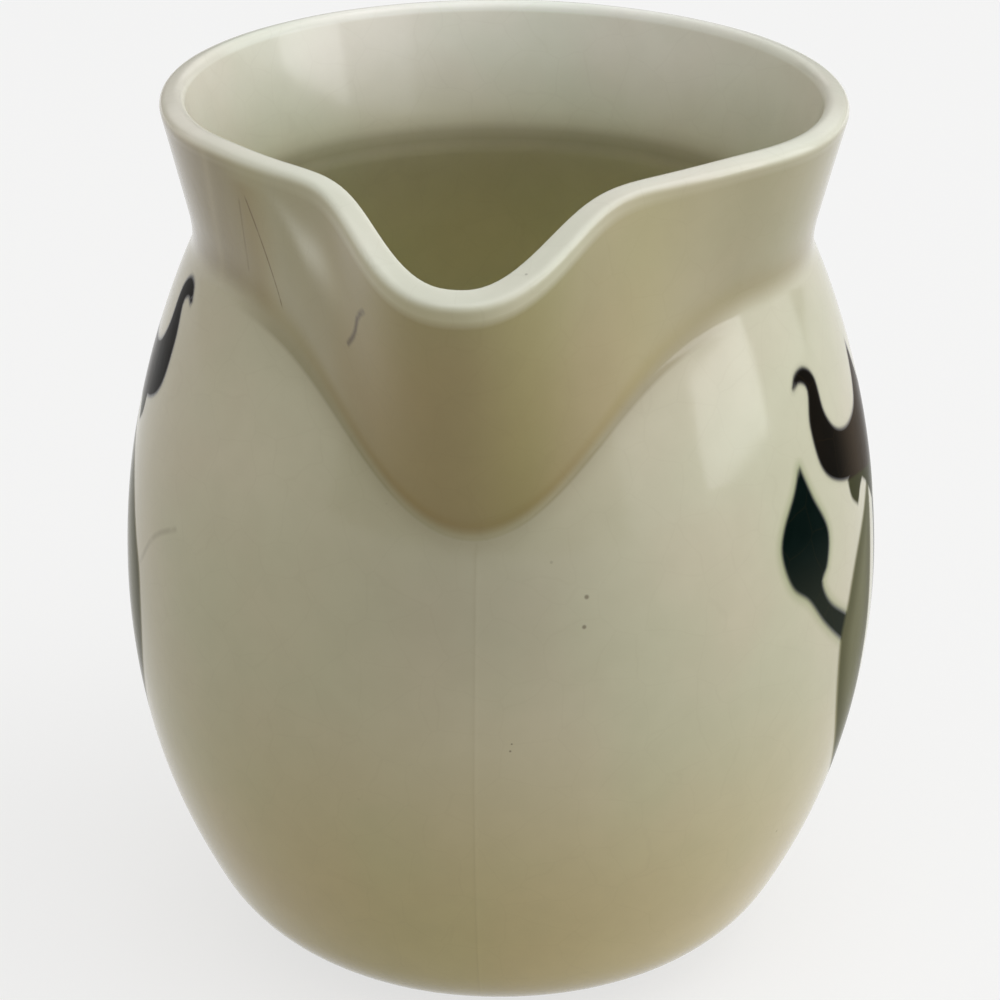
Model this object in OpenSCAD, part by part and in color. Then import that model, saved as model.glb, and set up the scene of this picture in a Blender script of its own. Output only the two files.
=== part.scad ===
// Glazed earthenware pitcher with a round belly, a flared neck, a wide V-shaped spout and a loop handle.
// The spout points along -Y and the handle along +Y. Z = 0 is the table and the Z axis is the pot's own axis.
// The pieces are those of the unfired pot: two moulded body halves luted together along a front and a back
// seam, a floor, a foot ring, a collar, a spout and a handle with its two flared terminals.

/* [Body] */
// Outer radius of the belly at its widest
belly_r = 70.8; // [65:0.1:80]
// Height of the widest point above the table
belly_z = 75.6; // [68:0.1:84]
// Radius of the profile arc above the widest point
shoulder_arc = 153; // [125:1:190]
// Radius of the profile arc below the widest point
flank_arc = 127; // [105:1:160]
// Radius of the rounded heel between the flank and the floor
heel_r = 25.8; // [18:0.2:32]
// Thickness of the fired wall
wall = 4.7; // [3.5:0.1:6]
// Width of the slip that joins the two halves
seam_w = 0.8; // [0.4:0.1:2]

/* [Foot] */
// Height of the foot ring under the floor
foot_h = 1.8; // [1:0.1:4]
// Outer radius of the foot ring
foot_r = 36; // [32:0.5:42]
// Width of the foot ring's standing face
foot_w = 5.5; // [3:0.5:9]

/* [Neck] */
// Height of the crease between shoulder and neck
neck_z = 141.2; // [134:0.1:148]
// Height of the centre of the rounded rim
rim_z = 165.3; // [157:0.1:178]
// Outer radius of the rim
rim_r = 62; // [58:0.5:68]

/* [Spout] */
// Half of the angle that the spout takes out of the neck, in degrees
spout_half = 54; // [46:1:64]
// How far the crease runs down the belly under the lip
crease_drop = 31.6; // [20:0.2:42]
// Angle from the middle at which the crease has half its drop
crease_half = 20.4; // [14:0.2:24]
// Sharpness of the crease's bend
crease_power = 2.05; // [1.8:0.05:3]
// How far the lip stands out past the round rim
lip_reach = 18; // [10:0.5:24]
// Angle from the middle at which the lip has half its reach
reach_half = 12.8; // [10:0.1:18]
// Sharpness of the lip's bend in plan
reach_power = 2.2; // [2:0.1:4]
// How far the lip dips below the round rim
lip_dip = 11; // [4:0.1:16]
// Angle from the middle at which the lip has half its dip
dip_half = 12.5; // [10:0.1:18]
// Sharpness of the lip's bend in height
dip_power = 2.5; // [2:0.1:4]
// Extra thickness of the rounded edge in the middle of the lip
lip_swell = 0.7; // [0:0.1:1.5]
// Angle by which the hand-finished lip leans off the spout's middle, towards +X
lip_lean = -1.5; // [-4:0.5:4]

/* [Handle] */
// Height of the middle of the upper joint
handle_top_z = 126; // [118:0.5:128]
// Height of the middle of the lower joint
handle_low_z = 49; // [42:0.5:60]
// Gap for the fingers between belly and grip
finger_gap = 29; // [22:0.5:36]
// Width of the grip
handle_w = 22; // [16:0.5:28]
// Thickness of the grip
handle_t = 11; // [8:0.5:14]
// Share of its width that the grip loses from top to bottom
handle_taper = 0.2; // [0:0.05:0.3]
// How far the grip's curve is pulled up as it leaves the shoulder
handle_rise = 30; // [15:1:36]
// How far the grip's curve is pulled up before it meets the belly
handle_sag = 9; // [0:1:20]
// Share by which a terminal widens where it meets the body
terminal_flare = 0.42; // [0.2:0.02:0.6]
// Share of the handle's run that each terminal takes
terminal_run = 0.13; // [0.09:0.01:0.16]

/* [Hidden] */
$fn = 120;

glaze = [0.86, 0.85, 0.77];
lip_glaze = [0.89, 0.885, 0.83];
slip = [0.8, 0.785, 0.7];
bare_clay = [0.8, 0.74, 0.63];

// Centres of the profile arcs, as [radius, height]
shoulder_c = [belly_r - shoulder_arc, belly_z];
flank_c = [belly_r - flank_arc, belly_z];
// Where a rounding meets the next face it stands proud by arc_lap, which leaves one clean corner between them
arc_lap = 0.05;
heel_run = flank_arc - heel_r + arc_lap;
heel_fall = belly_z - heel_r - foot_h;
heel_c = [flank_c.x + sqrt(pow(heel_run, 2) - pow(heel_fall, 2)), foot_h + heel_r];
floor_r = heel_c.x;

// The line from the flank's centre through the heel's centre parts the two arcs
tangent_slope = (heel_c.y - flank_c.y) / (heel_c.x - flank_c.x);
function tangent_z(x) = flank_c.y + tangent_slope * (x - flank_c.x);

// Radius of the body at a height above the heel, with the profile moved inwards by inset
function arc_x(c, r, z) = c.x + sqrt(r * r - pow(z - c.y, 2));
function body_x(z, inset = 0) =
    z >= belly_z ? arc_x(shoulder_c, shoulder_arc - inset, z) : arc_x(flank_c, flank_arc - inset, z);

reach_x = belly_r + 2 * wall;
rim_mid_r = rim_r - wall / 2;

// A point at an angle from the spout's middle, towards +X
function at(angle, r, z) = [r * sin(angle), -r * cos(angle), z];

// A bell that is 1 in the middle of the spout, a half at the angle half_at and 0 at the spout's ends
function bump(angle, half_at, power) = exp(-ln(2) * pow(abs(angle) / half_at, power));
function bell(angle, half_at, power) =
    let (end = bump(spout_half, half_at, power)) (bump(angle, half_at, power) - end) / (1 - end);

function crease_z(angle) = neck_z - crease_drop * bell(angle, crease_half, crease_power);
function lip_bell(angle, half_at, power) = bell(angle - lip_lean, half_at, power);
function lip_mid(angle) = at(angle, rim_mid_r + lip_reach * lip_bell(angle, reach_half, reach_power),
                             rim_z - lip_dip * lip_bell(angle, dip_half, dip_power));
function lip_half(angle) = (wall + lip_swell * lip_bell(angle, reach_half, reach_power)) / 2;
function seat_point(angle, inset) = at(angle, body_x(crease_z(angle), inset), crease_z(angle));
function seat_mid(angle) = (seat_point(angle, 0) + seat_point(angle, wall)) / 2;

function unit(v) = v / norm(v);
function mix(a, b, share) = a * (1 - share) + b * share;

// Directions at the lip: up along the wall, and outwards square to it
function wall_up(angle) = unit(lip_mid(angle) - seat_mid(angle));
function wall_out(angle, step = 0.5) = unit(cross(lip_mid(angle + step) - lip_mid(angle - step), wall_up(angle)));

// One slice through the spout's wall: up the outside, over the rounded lip and down the inside
spout_rows = 4;
lip_steps = 6;
function spout_slice(angle) =
    let (mid = lip_mid(angle), out = wall_out(angle) * lip_half(angle), up = wall_up(angle) * lip_half(angle))
    [
        for (k = [0 : spout_rows - 1]) mix(seat_point(angle, 0), mid + out, k / spout_rows),
        for (k = [0 : lip_steps]) mid + out * cos(180 * k / lip_steps) + up * sin(180 * k / lip_steps),
        for (k = [1 : spout_rows]) mix(mid - out, seat_point(angle, wall), k / spout_rows),
    ];

// A block above the crease, which makes room for the spout in the body and runs a little past both its faces
notch_past = wall / 10;
notch_in = belly_r / 2;
function notch_slice(angle) = [
    seat_point(angle, 0) + at(angle, notch_past, 0), at(angle, reach_x, rim_z),
    at(angle, notch_in, rim_z), seat_point(angle, wall) - at(angle, notch_past, 0),
];

spout_slices = 54;
function spout_angle(i) = spout_half * (2 * i / spout_slices - 1);

// The handle's curve in the plane X = 0, as [Y, Z]: a cubic from the upper joint to the lower one
handle_y = belly_r + finger_gap + handle_t / 2;
handle_start = [body_x(handle_top_z, wall), handle_top_z];
handle_end = [body_x(handle_low_z, wall), handle_low_z];
handle_pull_y = (8 * handle_y - handle_start.x - handle_end.x) / 6;
handle_curve = [handle_start, [handle_pull_y, handle_top_z + handle_rise],
                [handle_pull_y, handle_low_z + handle_sag], handle_end];
function curve_point(p, t) =
    p[0] * pow(1 - t, 3) + 3 * p[1] * t * pow(1 - t, 2) + 3 * p[2] * t * t * (1 - t) + p[3] * pow(t, 3);
function curve_way(p, t) = unit(
    (p[1] - p[0]) * pow(1 - t, 2) + 2 * (p[2] - p[1]) * t * (1 - t) + (p[3] - p[2]) * t * t);

// The grip's oval slices, wider at both ends where the terminals flare
handle_sides = 24;
function end_share(t) = max(0, 1 - min(t, 1 - t) / terminal_run);
function flare(t) = 1 + terminal_flare * pow(end_share(t), 2);
function handle_slice(t) =
    let (
        p = curve_point(handle_curve, t), way = curve_way(handle_curve, t),
        half_w = handle_w / 2 * (1 - handle_taper * t) * flare(t), half_t = handle_t / 2 * flare(t)
    )
    [
        for (k = [0 : handle_sides - 1])
            let (a = 360 * k / handle_sides, lift = half_t * sin(a))
            [half_w * cos(a), p.x - way.y * lift, p.y + way.x * lift],
    ];

// A closed solid through a row of slices with equal numbers of points
module skin(slices) {
    m = len(slices[0]);
    last = len(slices) - 1;
    faces = [
        [for (k = [m - 1 : -1 : 0]) k],
        for (i = [0 : last - 1], k = [0 : m - 1])
            let (a = i * m + k, b = i * m + (k + 1) % m)
            each [[a, b, a + m], [b, b + m, a + m]],
        [for (k = [0 : m - 1]) last * m + k],
    ];
    polyhedron([for (s = slices) each s], faces, convexity = 8);
}

// The space inside the three profile arcs, with the arcs moved inwards by inset
module arcs_inside(inset) {
    intersection() {
        translate(shoulder_c) circle(shoulder_arc - inset);
        translate([0, belly_z]) square([reach_x, neck_z - belly_z]);
    }
    intersection() {
        translate(flank_c) circle(flank_arc - inset);
        polygon([[0, belly_z], [reach_x, belly_z], [reach_x, tangent_z(reach_x)], [0, tangent_z(0)]]);
    }
    translate(heel_c) circle(heel_r - inset);
}

// The belly wall's section, from the floor's edge to the neck crease
module wall_section() {
    difference() {
        intersection() {
            arcs_inside(0);
            translate([floor_r, 0]) square([reach_x, rim_z]);
        }
        arcs_inside(wall);
    }
}

// The pot's whole section, filled
module body_section() {
    arcs_inside(0);
    polygon([[0, foot_h], [floor_r, foot_h], heel_c, [0, tangent_z(0)]]);
}

module body_block() {
    rotate_extrude() body_section();
}

module notch() {
    skin([for (i = [0 : spout_slices]) notch_slice(spout_angle(i))]);
}

module belly_shell() {
    rotate_extrude() wall_section();
}

// The belly's wall with room for the spout
module belly_wall() {
    difference() {
        belly_shell();
        notch();
    }
}

// Everything to one side of the plane X = 0, clear of the seam; side is 1 for +X and -1 for -X
module side_block(side) {
    translate([side * (seam_w / 2 + reach_x / 2), 0, rim_z / 2])
        cube([reach_x, 2 * reach_x, 2 * rim_z], center = true);
}

// The seam's own slab, in front (side is -1) or behind (side is 1)
module seam_block(side) {
    translate([0, side * reach_x / 2, rim_z / 2]) cube([seam_w, reach_x, 2 * rim_z], center = true);
}

module body_half(side) {
    color(glaze) intersection() {
        belly_wall();
        side_block(side);
    }
}

module body_left_half() {
    body_half(-1);
}

module body_right_half() {
    body_half(1);
}

module front_seam_slip() {
    color(slip) intersection() {
        belly_wall();
        seam_block(-1);
    }
}

module back_seam_slip() {
    color(slip) intersection() {
        belly_shell();
        seam_block(1);
    }
}

module base_floor() {
    color(glaze) translate([0, 0, foot_h]) cylinder(h = wall, r = floor_r);
}

module foot_ring() {
    color(bare_clay) rotate_extrude() difference() {
        translate([foot_r - foot_w, 0]) square([foot_w, heel_c.y]);
        body_section();
    }
}

// The collar's wall is a straight flare with a round rim
module neck_collar() {
    seat_out = [body_x(neck_z), neck_z];
    seat_in = [body_x(neck_z, wall), neck_z];
    rim_mid = [rim_mid_r, rim_z];
    way = unit(rim_mid - (seat_out + seat_in) / 2);
    out = [way.y, -way.x] * (wall / 2 - arc_lap);
    color(lip_glaze) rotate([0, 0, spout_half - 90]) rotate_extrude(angle = 360 - 2 * spout_half) {
        polygon([seat_in, seat_out, rim_mid + out, rim_mid - out]);
        translate(rim_mid) circle(wall / 2);
    }
}

module spout() {
    color(lip_glaze) skin([for (i = [0 : spout_slices]) spout_slice(spout_angle(i))]);
}

grip_slices = 30;
terminal_slices = 8;
module handle_run(from, to, slices) {
    skin([for (i = [0 : slices]) handle_slice(from + (to - from) * i / slices)]);
}

module handle_grip() {
    color(glaze) handle_run(terminal_run, 1 - terminal_run, grip_slices);
}

module handle_upper_terminal() {
    color(glaze) difference() {
        handle_run(0, terminal_run, terminal_slices);
        body_block();
    }
}

module handle_lower_terminal() {
    color(glaze) difference() {
        handle_run(1 - terminal_run, 1, terminal_slices);
        body_block();
    }
}

body_left_half();
body_right_half();
front_seam_slip();
back_seam_slip();
base_floor();
foot_ring();
neck_collar();
spout();
handle_grip();
handle_upper_terminal();
handle_lower_terminal();
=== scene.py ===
"""Looks of a glazed earthenware pitcher with a sprayed flower on each side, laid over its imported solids."""

import math

import bpy
import numpy as np
from mathutils import Matrix


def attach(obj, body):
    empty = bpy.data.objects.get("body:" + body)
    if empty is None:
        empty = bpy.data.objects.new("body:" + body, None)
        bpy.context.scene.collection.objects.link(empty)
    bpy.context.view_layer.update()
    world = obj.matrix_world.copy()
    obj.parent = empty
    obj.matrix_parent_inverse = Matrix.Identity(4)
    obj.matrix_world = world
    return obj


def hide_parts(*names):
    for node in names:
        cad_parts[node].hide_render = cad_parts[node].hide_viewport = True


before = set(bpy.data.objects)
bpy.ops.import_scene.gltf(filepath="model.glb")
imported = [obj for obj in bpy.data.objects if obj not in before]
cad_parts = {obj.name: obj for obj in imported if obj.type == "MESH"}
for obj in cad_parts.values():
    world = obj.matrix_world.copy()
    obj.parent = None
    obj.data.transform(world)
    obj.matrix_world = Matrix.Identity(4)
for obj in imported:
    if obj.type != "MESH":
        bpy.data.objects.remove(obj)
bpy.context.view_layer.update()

# Sizes in millimetres and degrees, as the solids have them. Meshes are scaled to metres when they are made.
MM = 0.001
BELLY_R, BELLY_Z = 70.8, 75.6
SHOULDER_ARC, FLANK_ARC, HEEL_R = 153.0, 127.0, 25.8
WALL = 4.7
FOOT_H, FOOT_R, FOOT_W = 1.8, 36.0, 5.5
NECK_Z, RIM_Z, RIM_R = 141.2, 165.3, 62.0
SPOUT_HALF = 54.0
CREASE_DROP, CREASE_HALF, CREASE_POWER = 31.6, 20.4, 2.05
LIP_REACH, REACH_HALF, REACH_POWER = 18.0, 12.8, 2.2
HANDLE_TOP_Z, HANDLE_LOW_Z, FINGER_GAP = 126.0, 49.0, 29.0
HANDLE_W, HANDLE_T, HANDLE_TAPER = 22.0, 11.0, 0.2
HANDLE_RISE, HANDLE_SAG = 30.0, 9.0

# The lip, a little thicker, lower and more uneven than the solid one. The rim rises a little on both sides
# of it: by how much, at which angle from the spout, and how widely
LIP_DIP, DIP_HALF, DIP_POWER = 12.2, 12.5, 2.5
LIP_SWELL, LIP_LEAN, LEFT_SKEW, RIGHT_SKEW = 0.9, -1.2, -1.1, 1.0
RIM_LIFTS = ((1.3, 45.0, 15.0), (0.55, -47.0, 9.0))

# Softness that the hand and the glaze give the clay
CREASE_SOFT_BELOW, CREASE_SOFT_ABOVE = 1.4, 3.0
SIDE_SOFT, SIDE_POWER = 2.2, 4
RIM_SQUARE, LIP_SQUARE = 2.8, 4.5
SEAM_RIDGE, SEAM_SPREAD, SEAM_TURN = 0.05, 0.45, 0.95
WAVER = 0.10
HANDLE_FILLET, FILLET_MOST = 4.0, 0.985
HANDLE_FLARE, FLARE_SHARE, HANDLE_STILL = 0.2, 0.13, 8.0
FOOT_SOFT, FOOT_SINK = 0.6, 0.9

# Columns of the pot's mesh, in degrees, and the rows along each stretch of its profile
PLAIN_STEP, FLOWER_STEP = 1.2, 0.8
FLOWER_FROM, FLOWER_TO = 46.0, 120.0
SEAM_COLUMNS = (-0.7, -0.42, -0.26, -0.13, 0, 0.13, 0.26, 0.42, 0.7)
FLOOR_ROWS, HEEL_ROWS, FLANK_ROWS, SHOULDER_ROWS = 5, 20, 54, 64
BEND_ROWS, NECK_ROWS, LIP_ROWS = 8, 22, 28
INNER_NECK_ROWS, INNER_BEND_ROWS, INNER_SHOULDER_ROWS = 12, 6, 15
INNER_FLANK_ROWS, INNER_HEEL_ROWS = 13, 8
RIDGE_FIRST, RIDGE_FADE_IN, RIDGE_FADE_OUT = 8, 20, 6
STILL_ROWS, WAVER_FADE = 4, 12
HANDLE_ROWS, HANDLE_COLUMNS = 240, 72
FOOT_STEP, FOOT_CORNER = 2.5, 6

# Places on the pot's profile that follow from the sizes
SHOULDER_X = BELLY_R - SHOULDER_ARC
FLANK_X = BELLY_R - FLANK_ARC
HEEL_Z = FOOT_H + HEEL_R
HEEL_X = FLANK_X + math.sqrt((FLANK_ARC - HEEL_R) ** 2 - (BELLY_Z - HEEL_Z) ** 2)
HEEL_TURN = math.atan2(HEEL_Z - BELLY_Z, HEEL_X - FLANK_X)
CENTRE_R = HEEL_X / 12
HANDLE_SINK = WALL * 0.6


# The pot's surface: every function takes the angle from the spout, in degrees, and works on arrays

def bell(angle, half, power):
    """One at the middle of the spout, a half at the half angle, and zero at the spout's two ends."""
    fall = lambda a: np.exp(-math.log(2) * np.abs(a / half) ** power)
    foot = fall(SPOUT_HALF)
    inside = np.abs(angle) < SPOUT_HALF
    return np.where(inside, np.maximum(0, (fall(angle) - foot) / (1 - foot)), 0)


def around(angle, radius, height):
    """Points at these angles from the spout, radii and heights."""
    a = np.radians(angle)
    return np.stack(np.broadcast_arrays(radius * np.sin(a), -radius * np.cos(a), height), -1)


def body_radius(height, inset):
    """Radius of the belly's skin at a height, or of a skin set in from it."""
    above = np.sqrt(np.maximum((SHOULDER_ARC - inset) ** 2 - (height - BELLY_Z) ** 2, 0))
    below = np.sqrt(np.maximum((FLANK_ARC - inset) ** 2 - (height - BELLY_Z) ** 2, 0))
    return np.where(height >= BELLY_Z, SHOULDER_X + above, FLANK_X + below)


def crease_height(angle):
    return NECK_Z - CREASE_DROP * bell(angle, CREASE_HALF, CREASE_POWER)


def lip_turn(angle):
    """Angle from the middle of the lip, which the hand has pulled to one side and wide at both ends."""
    end = 1 - bell(angle, REACH_HALF, REACH_POWER)
    return angle - LIP_LEAN - np.where(angle < 0, LEFT_SKEW, RIGHT_SKEW) * end


def lip_middle(angle):
    reach = LIP_REACH * bell(lip_turn(angle), REACH_HALF, REACH_POWER)
    dip = LIP_DIP * bell(lip_turn(angle), DIP_HALF, DIP_POWER)
    lift = sum(rise * hump(angle, middle, half) for rise, middle, half in RIM_LIFTS)
    return around(angle, RIM_R - WALL / 2 + reach, RIM_Z - dip + lift)


def unit(vectors):
    return vectors / np.linalg.norm(vectors, axis=-1, keepdims=True)


def lip_frame(angle):
    """Middle of the lip, its outward and upward directions, and half of its thickness."""
    step = 0.05
    middle = lip_middle(angle)
    along = lip_middle(angle + step) - lip_middle(angle - step)
    height = crease_height(angle)
    seat = around(angle, body_radius(height, WALL / 2), height)
    up = unit(middle - seat)
    out = unit(np.cross(along, up))
    half = (WALL + LIP_SWELL * bell(lip_turn(angle), REACH_HALF, REACH_POWER)) / 2
    return middle, out, up, half[:, None]


def arc_rows(angle, centre_x, centre_z, radius, start, end, count):
    """Rows of points along an arc of the profile; start and end may differ from column to column."""
    start, end = np.broadcast_to(start, angle.shape), np.broadcast_to(end, angle.shape)
    rows = []
    for t in np.linspace(0, 1, count, endpoint=False):
        turn = start + (end - start) * t
        rows.append(around(angle, centre_x + radius * np.cos(turn), centre_z + radius * np.sin(turn)))
    return rows


def straight_rows(first, last, count):
    return [first + (last - first) * t for t in np.linspace(0, 1, count, endpoint=False)]


def bend_rows(first, corner, last, count):
    """Rows of a soft bend from one leg to the other of a corner."""
    rows = []
    for t in np.linspace(0, 1, count, endpoint=False):
        rows.append(first * (1 - t) ** 2 + corner * 2 * t * (1 - t) + last * t ** 2)
    return rows


def wall_side(angle, inset, sign):
    """One side of the pot above the belly: the belly's end, the crease and the neck wall's two ends."""
    height = crease_height(angle)
    radius = SHOULDER_ARC - inset
    soft = 1 + (SIDE_SOFT - 1) * (1 - bell(angle, SPOUT_HALF / 2, SIDE_POWER))
    turn = np.arcsin((height - BELLY_Z) / radius) - CREASE_SOFT_BELOW * soft / radius
    below = around(angle, SHOULDER_X + radius * np.cos(turn), BELLY_Z + radius * np.sin(turn))
    crease = around(angle, body_radius(height, inset), height)
    middle, out, _, half = lip_frame(angle)
    edge = middle + out * half * sign
    above = crease + unit(edge - crease) * (CREASE_SOFT_ABOVE * soft)[:, None]
    return turn, below, crease, above, edge


def lip_rows(angle, count):
    """The rounded, slightly squared lip, from its outer edge over the top to its inner edge."""
    middle, out, up, half = lip_frame(angle)
    square = RIM_SQUARE + (LIP_SQUARE - RIM_SQUARE) * bell(angle, REACH_HALF * 2, REACH_POWER)[:, None]
    rows = []
    for turn in np.linspace(0, math.pi, count, endpoint=False):
        c, s = math.cos(turn), math.sin(turn)
        across = np.copysign(abs(c) ** (2 / square), c)
        rise = abs(s) ** (2 / square)
        rows.append(middle + out * half * across + up * half * rise)
    return rows


def columns():
    """Angles of the mesh's columns, closer together at the seams and where the flowers are."""
    span = lambda first, last, step: np.linspace(first, last, round((last - first) / step), endpoint=False)
    behind = 180 - PLAIN_STEP
    half = np.concatenate([
        span(2 * PLAIN_STEP, FLOWER_FROM, PLAIN_STEP), span(FLOWER_FROM, FLOWER_TO, FLOWER_STEP),
        span(FLOWER_TO, behind, PLAIN_STEP), [behind]])
    before_seam = [-PLAIN_STEP, -PLAIN_STEP / 3]
    seam = np.array(SEAM_COLUMNS)
    back_seam = np.where(seam > 0, seam - 180, seam + 180)
    return np.sort(np.concatenate([-half, half, before_seam, seam + SEAM_TURN, back_seam]))


def pot_rows(angle):
    """All rows of the pot, from under the foot up the outside, over the lip and down to the floor."""
    quarter = -math.pi / 2
    flat = lambda r, z: around(angle, r, z)
    inner = lambda radius: radius - WALL
    floor_z = FOOT_H + WALL
    turn_out, below_out, crease_out, above_out, edge_out = wall_side(angle, 0, 1)
    turn_in, below_in, crease_in, above_in, edge_in = wall_side(angle, WALL, -1)
    rows = straight_rows(flat(CENTRE_R, FOOT_H), flat(HEEL_X, FOOT_H), FLOOR_ROWS)
    rows += arc_rows(angle, HEEL_X, HEEL_Z, HEEL_R, quarter, HEEL_TURN, HEEL_ROWS)
    rows += arc_rows(angle, FLANK_X, BELLY_Z, FLANK_ARC, HEEL_TURN, 0, FLANK_ROWS)
    rows += arc_rows(angle, SHOULDER_X, BELLY_Z, SHOULDER_ARC, 0, turn_out, SHOULDER_ROWS)
    marks = {"crease": len(rows)}
    rows += bend_rows(below_out, crease_out, above_out, BEND_ROWS)
    rows += straight_rows(above_out, edge_out, NECK_ROWS)
    marks["lip"] = len(rows)
    rows += lip_rows(angle, LIP_ROWS)
    marks["inside"] = len(rows)
    rows += straight_rows(edge_in, above_in, INNER_NECK_ROWS)
    rows += bend_rows(above_in, crease_in, below_in, INNER_BEND_ROWS)
    rows += arc_rows(angle, SHOULDER_X, BELLY_Z, inner(SHOULDER_ARC), turn_in, 0, INNER_SHOULDER_ROWS)
    rows += arc_rows(angle, FLANK_X, BELLY_Z, inner(FLANK_ARC), 0, HEEL_TURN, INNER_FLANK_ROWS)
    rows += arc_rows(angle, HEEL_X, HEEL_Z, inner(HEEL_R), HEEL_TURN, quarter, INNER_HEEL_ROWS)
    rows += straight_rows(flat(HEEL_X, floor_z), flat(CENTRE_R, floor_z), FLOOR_ROWS)
    rows.append(flat(CENTRE_R, floor_z))
    return np.array(rows), marks


# The ornament: one stencilled flower on each side, with two broad blades and a stalk below it, a leaf on its
# left and a thin tendril on its right. Outlines are (degrees from the flower's axis, height) as seen by a
# viewer who faces that side, for the right side of the pot; the left one is set higher and leans a little.

PETAL_OVER = [(-27.4, 123.9), (-25.8, 126.0), (-22.8, 126.3), (-20.3, 123.7), (-19.7, 117.5), (-16.8, 113.3),
              (-12, 111.7), (-6.4, 112.8), (-3.2, 116), (0, 123)]
PETAL_UNDER = [(-27.4, 123.9), (-25.0, 124.6), (-23.1, 122.5), (-24.6, 116.5), (-23.2, 108.6), (-18, 104.2),
               (-8, 101.6), (0, 99.5)]
LEAF_FRONT = [(-29.7, 110.8), (-31.6, 107), (-34.9, 101.6), (-35.8, 97), (-33.9, 90.7), (-30, 86.6),
              (-25.9, 80.6), (-20.7, 74.9), (-16, 71)]
LEAF_BACK = [(-29.7, 110.8), (-27.4, 104.7), (-24.1, 97.5), (-24.9, 91.5), (-26.7, 88.5), (-24.4, 83.5),
             (-18.7, 78.5), (-14, 75)]
BLADE_OUTER = [(-3, 101), (-8, 95.7), (-14.9, 87.8), (-19.1, 78.5), (-20.8, 71), (-18.5, 58), (-11, 42),
               (-1.5, 31)]
BLADE_INNER = [(-1.5, 31), (-4, 46), (-5.2, 64), (-5, 84), (-3, 101)]
STALK = [(-1.0, 93), (-0.95, 62), (-0.2, 30)]
SEPAL_FRONT = [(-15.4, 103.5), (-14.4, 99.2), (-11.6, 96.4)]
SEPAL_BACK = [(-11.6, 96.4), (-9.8, 98.9), (-7.8, 100)]
CALYX_POINT = [(-7.8, 100), (-4.5, 97), (0, 91)]
TENDRIL = [(36, 87.4), (28, 82.5), (20.6, 74)]
DEGREE = BELLY_R * math.pi / 180
RIGHT_AXIS, LEFT_AXIS, LEFT_LIFT = 86.0, 90.0, 9.8
LEFT_LEAN, LEAN_FROM = 0.13, 105.0
LEFT_GROW = 0.5
ORNAMENT_HALF, ORNAMENT_LOW, ORNAMENT_HIGH = 60, 20, 140
FAR = 15.0
THIN_MARKS = ("tendril", "hairline", "side_hairline", "crack")
FORMS = ("petal", "leaf", "blade", "sepal", "axis", "seam")
DISTANCE_MAPS = FORMS + THIN_MARKS + tuple(name + "_end" for name in THIN_MARKS)


def smooth_line(points, steps=10):
    """A smooth line through a few points."""
    p = np.array(points, float)
    p = np.concatenate([[2 * p[0] - p[1]], p, [2 * p[-1] - p[-2]]])
    t = np.linspace(0, 1, steps, endpoint=False)[:, None]
    spans = []
    for a, b, c, d in zip(p, p[1:], p[2:], p[3:]):
        bow = a - 2.5 * b + 2 * c - d / 2
        twist = 1.5 * (b - c) + (d - a) / 2
        spans.append(b + (c - a) * t / 2 + bow * t ** 2 + twist * t ** 3)
    return np.concatenate(spans + [p[-2:-1]])


def closed(*lines):
    return np.concatenate(lines) * [DEGREE, 1]


def flipped(line):
    return line * [-1, 1]


def nearest(where, line):
    """Distance of each place to a line, and the side of the line that it is on."""
    best = np.full(len(where), np.inf)
    side = np.ones(len(where))
    for first, last in zip(line, line[1:]):
        leg = last - first
        off = where - first
        share = np.clip(off @ leg / max(leg @ leg, 1e-9), 0, 1)
        gap = np.linalg.norm(off - share[:, None] * leg, axis=1)
        closer = gap < best
        best = np.where(closer, gap, best)
        side = np.where(closer, np.sign(leg[0] * off[:, 1] - leg[1] * off[:, 0]), side)
    return best, side


def thin_mark(name, where, points, scale):
    """Two maps of a thin line: signed distance to it, run on past its ends, and how far past an end."""
    line = smooth_line(points) * scale
    start, end = unit(line[0] - line[1]), unit(line[-1] - line[-2])
    run_on = np.concatenate([[line[0] + 3 * FAR * start], line, [line[-1] + 3 * FAR * end]])
    gap, side = nearest(where, run_on)
    past = np.maximum((where - line[0]) @ start, (where - line[-1]) @ end)
    return {name: np.clip(gap * side, -FAR, FAR), name + "_end": np.clip(past, -FAR, FAR)}


def signed_distance(where, ring):
    """Distance to a closed outline, below zero inside it."""
    gap = nearest(where, np.concatenate([ring, ring[:1]]))[0]
    inside = np.zeros(len(where), bool)
    for (x0, y0), (x1, y1) in zip(ring, np.roll(ring, -1, 0)):
        if y0 == y1:
            continue
        crosses = (where[:, 1] < y0) != (where[:, 1] < y1)
        cut = x0 + (where[:, 1] - y0) / (y1 - y0) * (x1 - x0)
        inside ^= crosses & (where[:, 0] < cut)
    return np.where(inside, -gap, gap)


def flower_place(angle, height):
    """Places in millimetres from the axis of the flower on that side."""
    right = angle > 0
    v = height - np.where(right, 0, LEFT_LIFT)
    lean = LEFT_LEAN * (v - LEAN_FROM)
    s = np.where(right, angle - RIGHT_AXIS, LEFT_AXIS + lean - np.abs(angle))
    return np.stack([s * DEGREE, v], -1)


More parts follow.
